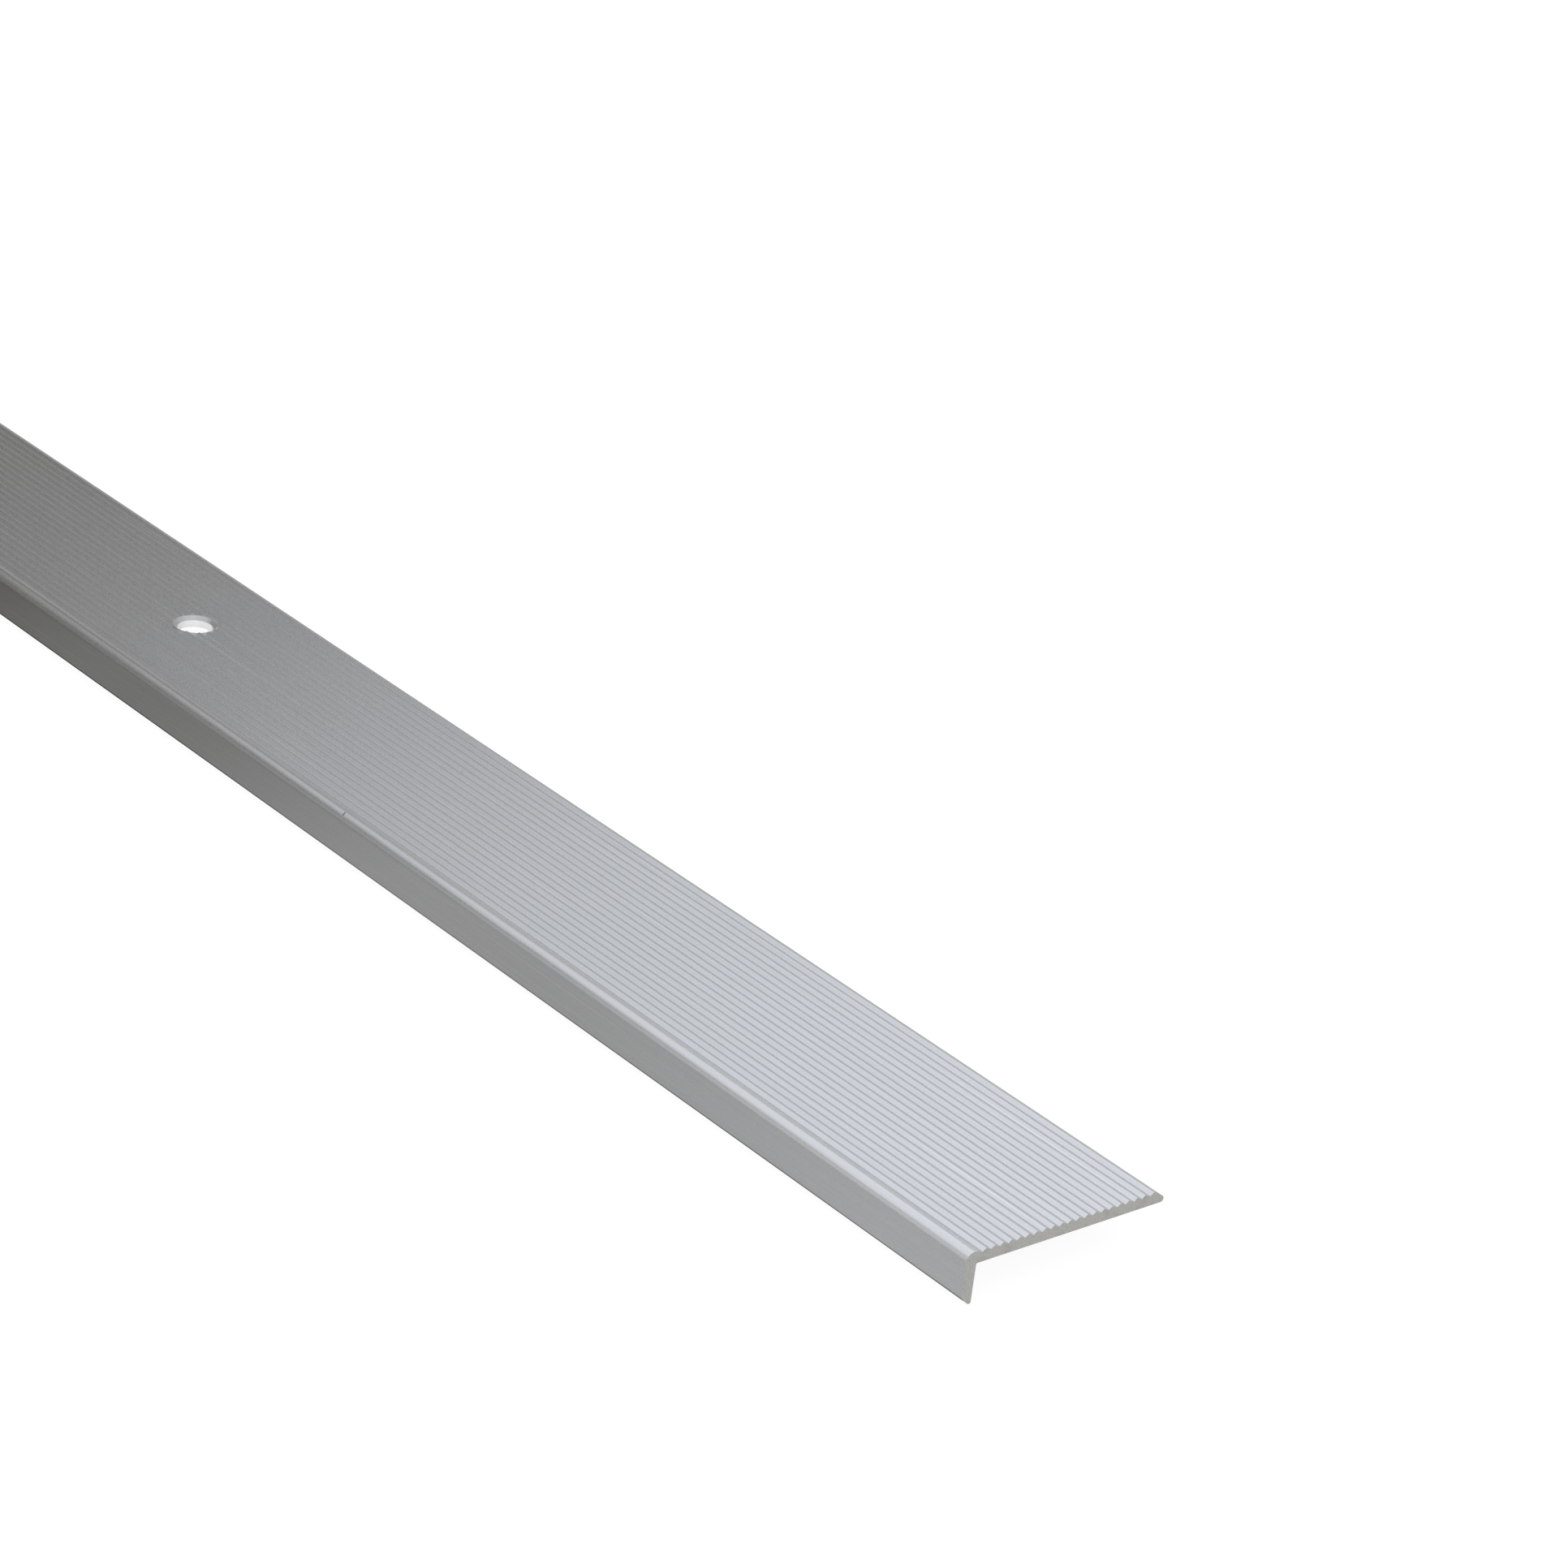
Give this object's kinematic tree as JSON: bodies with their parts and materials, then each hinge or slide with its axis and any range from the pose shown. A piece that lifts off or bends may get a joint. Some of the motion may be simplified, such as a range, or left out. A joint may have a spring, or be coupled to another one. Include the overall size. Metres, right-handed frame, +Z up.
{
  "type": "threshold strip",
  "caption": "Ribbed aluminium edge strip: flat grooved tread, rounded nose, short turned-down lip, bevelled back edge and a row of countersunk screw holes.",
  "frame": {"origin": "middle of the row of screw holes, on the flat underside of the tread", "axes": "+Z up out of the ribbed tread, +X along the strip, +Y towards the bevelled back edge, so the lip hangs down at -Y"},
  "size_m": [0.9, 0.0356, 0.0081],
  "materials": {
    "anodised_aluminium": "satin silver anodised, with bare saw-cut ends"
  },
  "bodies": {
    "root": {"strip": "anodised_aluminium"}
  },
  "joints": []
}
